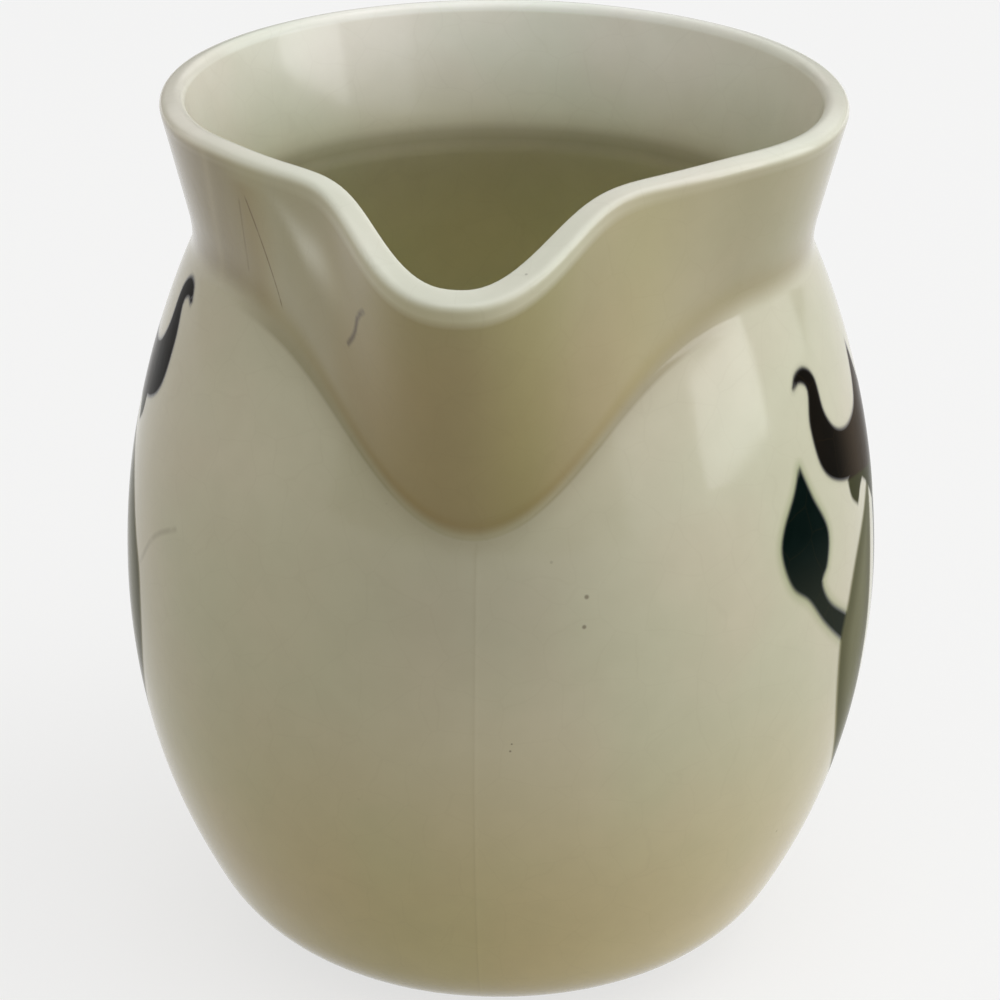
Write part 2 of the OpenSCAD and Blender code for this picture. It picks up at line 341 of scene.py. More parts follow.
def ornament(angle, heights):
    """Distances of the skin's points to each form of the ornament, and to its axis."""
    every = np.broadcast_to(angle, heights.shape).ravel()
    place = flower_place(every, heights.ravel())
    over, under = smooth_line(PETAL_OVER), smooth_line(PETAL_UNDER)
    blade = closed(smooth_line(BLADE_OUTER), smooth_line(BLADE_INNER))
    sepals = np.concatenate([smooth_line(SEPAL_FRONT), smooth_line(SEPAL_BACK), smooth_line(CALYX_POINT)])
    stalk = smooth_line(STALK)
    forms = {
        "petal": [closed(over, flipped(over)[::-1], flipped(under), under[::-1])],
        "leaf": [closed(smooth_line(LEAF_FRONT), smooth_line(LEAF_BACK)[::-1]),
                 closed(stalk, flipped(stalk)[::-1])],
        "blade": [blade, flipped(blade)],
        "sepal": [closed(sepals, flipped(sepals)[::-1])],
    }
    aside, high = np.abs(place[:, 0]), place[:, 1]
    near = (aside < ORNAMENT_HALF) & (high > ORNAMENT_LOW) & (high < ORNAMENT_HIGH)
    found = {"axis": np.minimum(aside, 3 * FAR)}
    for name, rings in forms.items():
        gap = np.full(len(place), FAR)
        gap[near] = np.min([signed_distance(place[near], ring) for ring in rings], axis=0)
        found[name] = np.clip(gap, -FAR, FAR)
    found["petal"] = found["petal"] - LEFT_GROW * (every < 0)
    found.update(thin_mark("tendril", place, TENDRIL, [DEGREE, 1]))
    return {name: values.reshape(heights.shape) for name, values in found.items()}


# Marks of age on the neck wall: (degrees from the spout, millimetres up from the crease)

HAIRLINE = [(-42, 24.2), (-38.8, 14.4), (-36, 5.5)]
SIDE_HAIRLINE = [(-43.6, 23), (-45.6, 7)]
CRACK = [(-13.3, 33.4), (-15.2, 29.1), (-16.6, 23.6), (-19, 17.6)]
NECK_DEGREE = (RIM_R - WALL) * math.pi / 180


def neck_marks(angle, rise):
    """The two maps of each mark for the neck wall's points."""
    place = np.stack([np.broadcast_to(angle, rise.shape) * NECK_DEGREE, rise], -1).reshape(-1, 2)
    found = {}
    for name, line in (("hairline", HAIRLINE), ("side_hairline", SIDE_HAIRLINE), ("crack", CRACK)):
        found.update(thin_mark(name, place, line, [NECK_DEGREE, 1]))
    return {name: values.reshape(rise.shape) for name, values in found.items()}


# The glaze's own colour, linear red, green and blue, and the stains, painted light, painted shade and painted
# reflections that it is multiplied by
CREAM = np.array([0.66, 0.64, 0.515])

# On the neck and the lip
# The whole neck a little darker and greener: partly the glaze's own tone, partly painted shade of its
# outward-leaning wall
NECK_STAIN_AND_SHADE = np.array([0.86, 0.84, 0.76])
# Browner spout panel: partly the glaze's own stain, partly painted shade of the panel that leans out under
# the lip
SPOUT_STAIN_AND_SHADE = np.array([0.73, 0.60, 0.43])
OLIVE_STAIN = np.array([0.86, 0.89, 0.71])
AMBER_STAIN = np.array([0.98, 0.96, 0.80])
TAN_STAIN = np.array([0.84, 0.77, 0.64])
# Bluish-white patch on the left of the neck: a painted reflection
NECK_PATCH_REFLECTION = np.array([1.05, 1.08, 1.20])
# Pale diagonal streak on the left of the neck: a painted reflection
DIAGONAL_REFLECTION = np.array([1.62, 1.72, 2.2])
# Pale upright streak on the far left of the neck: a painted reflection
STREAK_REFLECTION = np.array([1.20, 1.23, 1.34])
SIDE_STAIN = np.array([0.84, 0.82, 0.78])
FAIR_GLAZE = np.array([1.07, 1.09, 1.02])
WORN_STAIN = np.array([0.82, 0.77, 0.71])
# Darker band on the neck just above the crease: painted shade
CREASE_SHADE = np.array([0.90, 0.87, 0.78])
# Darker bend of the crease at the spout: painted shade
BEND_SHADE = np.array([0.68, 0.64, 0.56])
# Paler, bluish top of the lip: painted light
LIP_TOP_LIGHT = np.array([1.30, 1.33, 1.48])

# On the belly
# Warmer lower belly: painted warm light bounced from the floor
LOW_WARM_BOUNCE = np.array([1.03, 0.95, 0.73])
# Paler heel: painted light from the floor
HEEL_FLOOR_LIGHT = np.array([1.14, 1.13, 1.06])
# Greyer, darker front of the belly: painted shade
FRONT_SHADE = np.array([0.845, 0.825, 0.84])
# Paler left shoulder: painted light
SHOULDER_LIGHT = np.array([1.09, 1.07, 1.11])
# Darker belly just under the spout: painted shadow
UNDER_SPOUT_SHADOW = np.array([0.84, 0.815, 0.79])

# Inside, and at the back of the mouth
# Paler top of the inside: painted light
MOUTH_TOP_LIGHT = np.array([1.16, 1.16, 1.24])
MOUTH_DARKER = np.array([0.86, 0.87, 0.82])
TIDE_STAIN = np.array([0.64, 0.62, 0.57])
# Yellower deep inside: painted warm bounce light
DEEP_BOUNCE = np.array([1.07, 1.06, 0.84])
# Paler inside of the back wall and the rim's back: painted light from the front
BACK_WALL_LIGHT = np.array([1.21, 1.24, 1.33])

# Where they lie, in degrees from the spout: (middle, half width) of a hump
OLIVE_AT, AMBER_AT, TAN_AT, FAIR_AT = (7, 6), (-10, 6), (-42, 3.0), (27, 7)
REFLECTION_AT, STREAK_AT = (-26.5, 4.5), (-52, 1.1)
FRONT_AT, SHOULDER_AT = (1, 16), (-36, 14)

# or (nothing, full) of a soft step
SPOUT_FADE, SPOUT_EDGE = (46, 6), (0, 20)
REFLECTION_PATCH_FROM, REFLECTION_PATCH_TO = (-39, -34), (-19, -25)
WORN_FROM, WORN_TO = (-40, -50), (-115, -80)
SIDE_FADE, BACK_FADE = (36, 54), (100, 165)

# The same in heights, and on the neck in shares of the way from its crease (0) to its lip (1)
FRONT_HEIGHT, SHOULDER_HEIGHT, UNDER_GAP, TIDE_RISE = (97, 16), (118, 12), (0, 3.2), (1.5, 2.0)
LOW_FADE, LOW_LESS, HEEL_FADE = (80, 20), (26, 0), (30, 6)
DEEP_FADE, UPPER_FADE, BACK_HEIGHT = (153, 115), (143, 164), (135, 152)
CREASE_SHADE_AT, TAN_TOP, REFLECTION_PATCH_LOW, BEND_FADE = (0.14, 0.08), (1, 0.9), (0.1, 0.3), (0, 0.2)

# The share of the low painted warm bounce light that is lost again at the heel, the middle of the spout's
# stain and painted shade and how much weaker it gets upwards, the streak's lean, and the painted diagonal
# reflection: where it turns up, over what span and how sharply, the share of the neck where it lies and
# how far it climbs, its half width and how much that thins
LOW_LOST, SPOUT_MIDDLE, SPOUT_LESS, STREAK_LEAN = 0.5, -2, 0.45, 4.7
REFLECTION_TURN, REFLECTION_SPAN, REFLECTION_CURVE = -28, 8.5, 1.2
REFLECTION_LOW, REFLECTION_CLIMB, REFLECTION_HALF, REFLECTION_THINS = 0.76, 0.22, 0.08, 0.05

# How pale the lip's painted light makes it at least, how much more so at the spout, and over which turn the
# rest comes
LIP_LEAST, LIP_MORE, LIP_WIDER, LIP_TURN = 0.15, 0.5, 1.5, (0.1, 0.8)


def soft_step(value, low, high):
    t = np.clip((value - low) / (high - low), 0, 1)
    return t * t * (3 - 2 * t)


def hump(value, middle, half):
    """One in the middle, falling softly to nothing about two half widths away."""
    return np.exp(-math.log(2) * ((value - middle) / half) ** 2)


def tinted(tone, amount, stain_and_light):
    """The tone times the factor, a stain or painted light or shade, where the amount is one, and as it is
    where the amount is nothing.
    """
    return tone * (1 + amount[..., None] * (stain_and_light - 1))


def at_spout(angle):
    return soft_step(SPOUT_HALF - np.abs(angle), *SPOUT_EDGE)


def low_tone(height):
    """Painted warm bounce light on the belly's lower part, and painted floor light on its paler heel."""
    low = soft_step(height, *LOW_FADE) * (1 - LOW_LOST * soft_step(height, *LOW_LESS))
    return tinted(1 + low[..., None] * (LOW_WARM_BOUNCE - 1), soft_step(height, *HEEL_FADE), HEEL_FLOOR_LIGHT)


def belly_tone(angle, height):
    """Painted light and shade of the belly: warmer low down, darker in front, a painted shadow under the
    spout and a paler left shoulder.
    """
    under = hump(crease_height(angle) - height, *UNDER_GAP) * at_spout(angle)
    tone = tinted(low_tone(height), hump(angle, *FRONT_AT) * hump(height, *FRONT_HEIGHT), FRONT_SHADE)
    tone = tinted(tone, hump(angle, *SHOULDER_AT) * hump(height, *SHOULDER_HEIGHT), SHOULDER_LIGHT)
    return tinted(tone, under, UNDER_SPOUT_SHADOW)


def painted_diagonal_reflection(angle, share):
    """A painted reflection: a pale streak in the neck's upper part that turns up at one end."""
    turned = np.clip((REFLECTION_TURN - angle) / REFLECTION_SPAN, 0, 1) ** REFLECTION_CURVE
    return hump(share, REFLECTION_LOW + REFLECTION_CLIMB * turned, REFLECTION_HALF - REFLECTION_THINS * turned) * hump(angle, *REFLECTION_AT)


def neck_tone(angle, share):
    """Stains of the glaze, painted shade and painted reflections on the outside of the neck, from its crease
    (0) to its lip (1).
    """
    aside = np.abs(angle - SPOUT_MIDDLE)
    patch_reflection = soft_step(angle, *REFLECTION_PATCH_FROM) * soft_step(angle, *REFLECTION_PATCH_TO)
    stains_and_light = (
        (soft_step(aside, *SPOUT_FADE) * (1 - SPOUT_LESS * share), SPOUT_STAIN_AND_SHADE),
        (hump(angle, *OLIVE_AT), OLIVE_STAIN),
        (hump(angle, *AMBER_AT), AMBER_STAIN),
        (hump(angle, *TAN_AT) * soft_step(share, *TAN_TOP), TAN_STAIN),
        (patch_reflection * soft_step(share, *REFLECTION_PATCH_LOW), NECK_PATCH_REFLECTION),
        (painted_diagonal_reflection(angle, share), DIAGONAL_REFLECTION),
        (hump(angle + STREAK_LEAN * (1 - share), *STREAK_AT), STREAK_REFLECTION),
        (soft_step(aside, *SIDE_FADE), SIDE_STAIN),
        (hump(angle, *FAIR_AT), FAIR_GLAZE),
        (soft_step(angle, *WORN_FROM) * soft_step(angle, *WORN_TO), WORN_STAIN),
        (hump(share, *CREASE_SHADE_AT), CREASE_SHADE),
    )
    tone = NECK_STAIN_AND_SHADE * np.ones(share.shape + (3,))
    for amount, stain_and_light in stains_and_light:
        tone = tinted(tone, amount, stain_and_light)
    return tone


def wall_tone(angle, rows):
    """The neck's stains and painted shade on its outer rows, coming in over the bend of the crease, which is
    painted darker at the spout as shade.
    """
    share = np.linspace(0, 1, rows)[:, None] * np.ones(len(angle))
    fade_in = soft_step(share, *BEND_FADE)[..., None]
    painted_bend_shade = 1 + at_spout(angle)[:, None] * (BEND_SHADE - 1)
    return painted_bend_shade + fade_in * (neck_tone(angle, share) - painted_bend_shade)


def lip_tone(angle, rows):
    """Painted light over the lip's top, which takes up the neck's stains and painted shade on its outer side.
    """
    over = np.linspace(0, math.pi, rows)[:, None]
    least = LIP_LEAST + LIP_MORE * bell(angle, REACH_HALF * LIP_WIDER, REACH_POWER)
    pale = least + (1 - least) * soft_step(over, *LIP_TURN)
    under = neck_tone(angle, np.ones((1, len(angle))))
    return under + pale[..., None] * (LIP_TOP_LIGHT - under)


def inside_tone(angle, height):
    """Painted light near the top of the mouth, darker lower down, painted warm bounce light deep inside, and
    a darker tide mark just above the inner crease.
    """
    deep = soft_step(height, *DEEP_FADE)[..., None]
    upper = soft_step(height, *UPPER_FADE)[..., None]
    mouth = MOUTH_DARKER + (MOUTH_TOP_LIGHT - MOUTH_DARKER) * upper
    tide = hump(height - crease_height(angle), *TIDE_RISE)
    return tinted(mouth * (1 - deep) + DEEP_BOUNCE * deep, tide, TIDE_STAIN)


def glaze_tone(angle, points, marks):
    """Colour of the glaze at each point of the pot."""
    height = points[..., 2]
    crease, lip, inside = marks["crease"], marks["lip"], marks["inside"]
    tone = np.concatenate([
        belly_tone(angle, height[:crease]), wall_tone(angle, lip - crease),
        lip_tone(angle, inside - lip), inside_tone(angle, height[inside:])])
    # Painted light on the inside of the back wall and the rim's back.
    back = soft_step(np.abs(angle), *BACK_FADE) * soft_step(height[lip:], *BACK_HEIGHT)
    tone[lip:] = tinted(tone[lip:], back, BACK_WALL_LIGHT)
    return CREAM * tone


# Meshes

BAKE_MARGIN = 0.01


def grid_normals(points):
    """Outward directions of a grid of rows that closes on itself along the columns."""
    along = np.roll(points, -1, 1) - np.roll(points, 1, 1)
    up = np.gradient(points, axis=0)
    return unit(np.cross(along, up))


def padded(values):
    """A grid's values in one row, and the means of its first and last row for the fans' middles."""
    ends = np.stack([values[0].mean(0), values[-1].mean(0)])
    return np.concatenate([values.reshape((-1,) + values.shape[2:]), ends])


def grid_faces(rows, cols):
    """Quads between the rows, which close on themselves, and a fan at each end."""
    i, j = np.meshgrid(np.arange(rows - 1), np.arange(cols), indexing="ij")
    k = (j + 1) % cols
    quads = np.stack([i * cols + j, i * cols + k, (i + 1) * cols + k, (i + 1) * cols + j], -1).reshape(-1, 4)
    ring = np.arange(cols)
    after = (ring + 1) % cols
    top, middle = (rows - 1) * cols, rows * cols
    first = np.stack([after, ring, np.full(cols, middle)], -1)
    last = np.stack([top + ring, top + after, np.full(cols, middle + 1)], -1)
    return quads.tolist() + first.tolist() + last.tolist()


def bake_map(points):
    """Flat places of the faces' corners: across by column, and up by the length along the rows."""
    rows, cols = points.shape[:2]
    leg = lambda line: np.linalg.norm(np.diff(line, axis=0), axis=1)
    length = np.concatenate([[0], np.cumsum(leg(points.mean(1)) + leg(points[:, 0]))])
    v = BAKE_MARGIN + (1 - 2 * BAKE_MARGIN) * length / length[-1]
    u = np.arange(cols + 1) / cols
    i, j = np.meshgrid(np.arange(rows - 1), np.arange(cols), indexing="ij")
    at = lambda across, up: np.stack(np.broadcast_arrays(across, up), -1)
    quads = np.stack([at(u[j], v[i]), at(u[j + 1], v[i]), at(u[j + 1], v[i + 1]), at(u[j], v[i + 1])], 2)
    fan = lambda a, b, end, edge: np.stack([at(a, edge), at(b, edge), at((a + b) / 2, end)], 1)
    first, last = fan(u[1:], u[:-1], 0.0, v[0]), fan(u[:-1], u[1:], 1.0, v[-1])
    return np.concatenate([corners.reshape(-1, 2) for corners in (quads, first, last)])


def in_scene(name, mesh):
    """A smooth-shaded object of the mesh."""
    mesh.polygons.foreach_set("use_smooth", [True] * len(mesh.polygons))
    thing = bpy.data.objects.new(name, mesh)
    bpy.context.scene.collection.objects.link(thing)
    return thing


def grid_object(name, points, tone, attributes):
    """A closed mesh of rows of points round an axis, with a bake map, a glaze tone and distance maps."""
    mesh = bpy.data.meshes.new(name)
    mesh.from_pydata((padded(points) * MM).tolist(), [], grid_faces(*points.shape[:2]))
    layer = mesh.uv_layers.new(name="OFBake")
    layer.data.foreach_set("uv", bake_map(points).astype(np.float32).ravel())
    for key, values in attributes.items():
        attribute = mesh.attributes.new(key, "FLOAT", "POINT")
        attribute.data.foreach_set("value", padded(values).astype(np.float32))
    colours = padded(tone)
    colours = np.concatenate([colours, np.ones((len(colours), 1))], 1)
    attribute = mesh.attributes.new("tone", "FLOAT_COLOR", "POINT")
    attribute.data.foreach_set("color", colours.astype(np.float32).ravel())
    mesh.validate()
    return in_scene(name, mesh)


def ring_object(name, points):
    """A closed mesh of rows that also closes on itself from its last row to its first."""
    rows, cols = points.shape[:2]
    i, j = np.meshgrid(np.arange(rows), np.arange(cols), indexing="ij")
    n, k = (i + 1) % rows, (j + 1) % cols
    quads = np.stack([i * cols + j, i * cols + k, n * cols + k, n * cols + j], -1).reshape(-1, 4)
    mesh = bpy.data.meshes.new(name)
    mesh.from_pydata((points.reshape(-1, 3) * MM).tolist(), [], quads.tolist())
    return in_scene(name, mesh)


def waver(points):
    """The slow unevenness of a hand-finished wall, as millimetres along the normal."""
    x, y, z = points[..., 0], points[..., 1], points[..., 2]
    slow = np.sin(x / 9.1 + 0.4) * np.sin(y / 11.3 + 1.9) + np.sin(z / 8.3 + x / 17.0 + 0.7)
    quick = np.sin(x / 4.3 + z / 5.9) * np.sin(y / 5.1 - z / 7.7 + 2.2)
    return WAVER * (0.45 * slow + 0.18 * quick)


def pot_attributes(angle, points, marks):
    """Distances to the ornament on the belly and to the marks on the neck, far away everywhere else."""
    crease, lip = marks["crease"], marks["lip"]
    rise = np.linalg.norm(points[crease:lip] - points[crease], axis=-1)
    found = {}
    for first, last, part in ((0, crease, ornament(angle, points[:crease, :, 2])),
                              (crease, lip, neck_marks(angle, rise))):
        for name, values in part.items():
            full = np.full(points.shape[:2], FAR)
            full[first:last] = values
            found[name] = full
    return found


def make_pot():
    """Belly, floor, collar and spout as one glazed skin, with the mould seams raised on it."""
    angle = columns()
    points, marks = pot_rows(angle)
    normals = grid_normals(points)
    row = np.arange(len(points))
    share = lambda count, whole: np.clip(count / whole, 0, 1)
    skin = share(row - RIDGE_FIRST, RIDGE_FADE_IN) * share(marks["crease"] - row, RIDGE_FADE_OUT)
    from_seam = np.radians(np.minimum(np.abs(angle - SEAM_TURN), 180 - np.abs(angle))) * BELLY_R
    ridge = SEAM_RIDGE * np.exp(-(from_seam / SEAM_SPREAD) ** 2)
    free = share(len(points) - row, WAVER_FADE) * share(row - STILL_ROWS, WAVER_FADE)
    shift = waver(points) * free[:, None] + ridge[None, :] * skin[:, None]
    attributes = pot_attributes(angle, points, marks)
    attributes["seam"] = np.where(row[:, None] < marks["crease"], from_seam[None, :], FAR)
    tone = glaze_tone(angle, points, marks)
    return grid_object("glazed_pot", points + normals * shift[..., None], tone, attributes)


def bezier(p0, p1, p2, p3, t):
    t = t[:, None]
    return p0 * (1 - t) ** 3 + 3 * p1 * t * (1 - t) ** 2 + 3 * p2 * t ** 2 * (1 - t) + p3 * t ** 3


def handle_line(count):
    """The handle's middle line in the plane of the spout, as distance from the pot's axis and height."""
    start = np.array([float(body_radius(HANDLE_TOP_Z, HANDLE_SINK)), HANDLE_TOP_Z])
    end = np.array([float(body_radius(HANDLE_LOW_Z, HANDLE_SINK)), HANDLE_LOW_Z])
    seat_sum = float(body_radius(HANDLE_TOP_Z, WALL) + body_radius(HANDLE_LOW_Z, WALL))
    pull_y = (8 * (BELLY_R + FINGER_GAP + HANDLE_T / 2) - seat_sum) / 6
    t = (1 - np.cos(np.linspace(0, math.pi, count))) / 2
    upper = np.array([pull_y, HANDLE_TOP_Z + HANDLE_RISE])
    lower = np.array([pull_y, HANDLE_LOW_Z + HANDLE_SAG])
    return t, bezier(start, upper, lower, end, t)


def belly_normals(points):
    """Outward directions of the belly's skin nearest to the points."""
    radius = np.hypot(points[..., 0], points[..., 1])
    height = points[..., 2]
    rise = np.where(height >= BELLY_Z, (height - BELLY_Z) / SHOULDER_ARC, (height - BELLY_Z) / FLANK_ARC)
    flat = np.sqrt(1 - rise ** 2) / radius
    return np.stack([points[..., 0] * flat, points[..., 1] * flat, rise], -1)


def handle_strap():
    """Rows of the plain oval strap, before its ends are smoothed into the belly."""
    t, line = handle_line(HANDLE_ROWS)
    along = unit(np.gradient(line, axis=0))
    out = np.stack([along[:, 1], -along[:, 0]], -1)
    near_end = np.minimum(t, 1 - t)
    flare = 1 + HANDLE_FLARE * np.maximum(0, 1 - near_end / FLARE_SHARE) ** 2
    half_w = HANDLE_W / 2 * (1 - HANDLE_TAPER * t) * flare
    half_t = HANDLE_T / 2 * flare
    turn = np.linspace(0, 2 * math.pi, HANDLE_COLUMNS, endpoint=False)
    side = half_w[:, None] * np.cos(turn)
    away = half_t[:, None] * np.sin(turn)
    return np.stack([side, line[:, :1] + out[:, :1] * away, line[:, 1:] + out[:, 1:] * away], -1)


def make_handle():
    """The pulled handle: an oval strap, smoothed with a wet finger into the belly at both ends."""
    points = handle_strap()
    normals = grid_normals(points)
    skin = belly_normals(points)
    radius = np.hypot(points[..., 0], points[..., 1])
    gap = (radius - body_radius(points[..., 2], 0)) * np.hypot(skin[..., 0], skin[..., 1])
    short = np.clip(HANDLE_FILLET - gap, 0, HANDLE_FILLET * FILLET_MOST)
    push = HANDLE_FILLET - np.sqrt(HANDLE_FILLET ** 2 - short ** 2)
    over_skin = unit(normals - (normals * skin).sum(-1, keepdims=True) * skin)
    hand = waver(points) * soft_step(gap, 0, HANDLE_STILL)
    points = points + over_skin * push[..., None] + normals * hand[..., None]
    attributes = {name: np.full(gap.shape, FAR) for name in DISTANCE_MAPS}
    # The handle takes the belly's painted warm bounce light low down.
    tone = CREAM * low_tone(points[..., 2])
    return grid_object("pulled_handle", points, tone, attributes)


def make_foot():
    """The bare standing ring under the floor, with its edges rubbed round."""
    inner, outer, top = FOOT_R - FOOT_W, FOOT_R, FOOT_H + FOOT_SINK
    corner = lambda r, first: [(r + FOOT_SOFT * math.cos(q), FOOT_SOFT + FOOT_SOFT * math.sin(q))
                               for q in np.radians(np.linspace(first, first + 90, FOOT_CORNER))]
    profile = corner(outer - FOOT_SOFT, -90) + [(outer, top), (inner, top)] + corner(inner + FOOT_SOFT, 180)
    angle = np.arange(-180, 180, FOOT_STEP)
    points = np.array([around(angle, r, z) for r, z in profile])
    return ring_object("bare_foot_ring", points)


# Materials

def new_material(name):
    material = bpy.data.materials.new(name)
    material.use_nodes = True
    tree = material.node_tree
    return material, tree, tree.nodes["Principled BSDF"]


def node(tree, kind, inputs=None, **settings):
    """A node with its settings, and its inputs set to values or linked to other nodes' outputs."""
    made = tree.nodes.new(kind)
    for name, value in settings.items():
        setattr(made, name, value)
    for key, value in (inputs or {}).items():
        if isinstance(value, bpy.types.NodeSocket):
            tree.links.new(value, made.inputs[key])
        else:
            made.inputs[key].default_value = value
    return made


def step_between(tree, value, low, high):
    """From 0 at the low value to 1 at the high one, softly; the two may be given either way round."""
    inputs = {"Value": value, "From Min": low, "From Max": high}
    return node(tree, "ShaderNodeMapRange", inputs, interpolation_type="SMOOTHSTEP").outputs[0]


def blend(tree, share, under, over, mode="MIX"):
    inputs = {0: share, 6: under, 7: over}
    return node(tree, "ShaderNodeMix", inputs, data_type="RGBA", blend_type=mode).outputs[2]


def calc(tree, operation, *values):
    """One step of arithmetic on values or on other nodes' outputs."""
    return node(tree, "ShaderNodeMath", dict(enumerate(values)), operation=operation).outputs[0]


def times(tree, first, second):
    return calc(tree, "MULTIPLY", first, second)


def noise(tree, place, scale, detail=2.0, output="Fac"):
    inputs = {"Vector": place, "Scale": scale, "Detail": detail}
    return node(tree, "ShaderNodeTexNoise", inputs).outputs[output]


def distance_map(tree, name):
    return node(tree, "ShaderNodeAttribute", attribute_name=name).outputs["Fac"]


# Colours of the ornament and the marks, linear
PETAL_DARK, PETAL_THIN = (0.007, 0.006, 0.0045, 1), (0.016, 0.012, 0.009, 1)
PETAL_WARM = (0.052, 0.038, 0.026, 1)
LEAF_DARK, LEAF_THIN = (0.0015, 0.006, 0.005, 1), (0.005, 0.012, 0.011, 1)
# The leaf's paler lower part: a painted reflection
LEAF_LOW_REFLECTION = (0.026, 0.032, 0.026, 1)
BLADE_EDGE, BLADE_MIDDLE = (0.14, 0.14, 0.083, 1), (0.205, 0.205, 0.13, 1)
SEPAL_GREEN = (0.06, 0.062, 0.03, 1)
LEAF_HALO, PETAL_HALO = (0.62, 0.68, 0.50, 1), (0.74, 0.74, 0.70, 1)
TENDRIL_BROWN, HAIR_BROWN = (0.30, 0.26, 0.17, 1), (0.18, 0.115, 0.03, 1)
CRACK_BROWN, SPECK_BROWN = (0.09, 0.05, 0.0, 1), (0.10, 0.06, 0.03, 1)
WHITE = (1, 1, 1, 1)

# Tints of the glaze's drift and clouding, and colours of the bare clay
GREENISH, PINKISH = (0.98, 1.0, 0.975, 1), (1.02, 0.99, 0.985, 1)
CLOUD_DARK, CLOUD_PALE = (0.982, 0.982, 0.976, 1), (1.01, 1.01, 1.01, 1)
CLAY_DARK, CLAY_PALE, GRAIN_BROWN = (0.43, 0.32, 0.20, 1), (0.58, 0.46, 0.32, 1), (0.20, 0.13, 0.08, 1)

# Fineness of the noises and cells, per metre, and the values from nothing to full between which they show
DRIFT_SCALE, DRIFT_RANGE = 24, (0.35, 0.65)
CLOUD_SCALE, CLOUD_RANGE = 150, (0.3, 0.7)
SPRAY_SCALE, SPRAY_RANGE = 60, (0.35, 0.75)
BREAK_SCALE, BREAK_RANGE = 300, (0.1, 0.5)
DOT_SCALE, DOT_RANGE, DOT_RARE = 420.0, (0.16, 0.06), (0.93, 0.95)
NET_SCALE, NET_RANGE, NET_BENDS, NET_BEND = 105.0, (0.02, 0.004), 90, 0.004
CLAY_SCALE, CLAY_RANGE = 130, (0.3, 0.7)
GRAIN_SCALE, GRAIN_RANGE = 900.0, (0.35, 0.1)

# Bumps of the glaze and of the clay: fineness, strength and depth in metres
PEEL_SCALE, PEEL_STRENGTH, PEEL_DEPTH = 420, 0.06, 0.0004
PORE_SCALE, PORE_STRENGTH, PORE_DEPTH = 1400, 0.4, 0.0003

# Roughness of the glaze, which varies, and of the clay, and the glaze's index of refraction
POLISH_SCALE, POLISH_RANGE, CLAY_ROUGHNESS, GLAZE_IOR = 70, (0.07, 0.17), 0.88, 1.48

# Distances from an outline, in millimetres, at which a colour starts and is full
PETAL_SOFT, LEAF_SOFT, BLADE_SOFT, SEPAL_SOFT = (0.75, -0.15), (0.95, -0.2), (0.8, -1.6), (0.6, -0.6)
LEAF_HALO_SOFT, PETAL_HALO_SOFT, SEAM_SOFT = (2.6, -0.5), (1.6, -0.5), (0.5, -0.3)
BLADE_CORE, PETAL_CORE, PAINT_SOFT = (-1.5, -7.5), (24, 10), (-0.4, 0.4)

# Heights in metres between which the leaf gets paler, a painted reflection
LEAF_FADE = (0.099, 0.082)

# Half width in millimetres, strength and colour of each thin mark
THIN_LOOKS = {
    "tendril": (0.9, 0.4, TENDRIL_BROWN), "hairline": (0.35, 0.85, HAIR_BROWN),
    "side_hairline": (0.4, 0.4, HAIR_BROWN), "crack": (0.5, 0.8, CRACK_BROWN)}
END_SOFT = (0.0, -1.5)
SEAM_STRENGTH, SPECK_STRENGTH, DOT_STRENGTH = 0.08, 0.6, 0.35
NET_STRENGTH, GRAIN_STRENGTH = 0.025, 0.45

# Iron specks: degrees from the spout, height and radius, and the share of the radius that is fully brown
SPECKS = ((16.7, 97.9, 0.6), (16.3, 92.6, 0.55), (6.0, 69.8, 0.3), (6.2, 71.2, 0.25))
SPECK_CORE = 0.3

# Specular levels of the glaze and of the paint, which is duller on the right side of the pot than on the
# left, and how far from the middle, in metres, the two sides count as such
GLAZE_GLOSS, LEFT_GLOSS, RIGHT_GLOSS, GLOSS_SPAN = 0.42, 0.010, 0.003, 0.05


def mottled(tree, place, tone):
    """The cream glaze with its slow drift between greenish and pinkish, and finer clouding."""
    drift = step_between(tree, noise(tree, place, DRIFT_SCALE), *DRIFT_RANGE)
    tint = blend(tree, drift, GREENISH, PINKISH)
    cloud = step_between(tree, noise(tree, place, CLOUD_SCALE, 4), *CLOUD_RANGE)
    shade = blend(tree, cloud, CLOUD_DARK, CLOUD_PALE)
    return blend(tree, 1.0, blend(tree, 1.0, tone, tint, "MULTIPLY"), shade, "MULTIPLY")


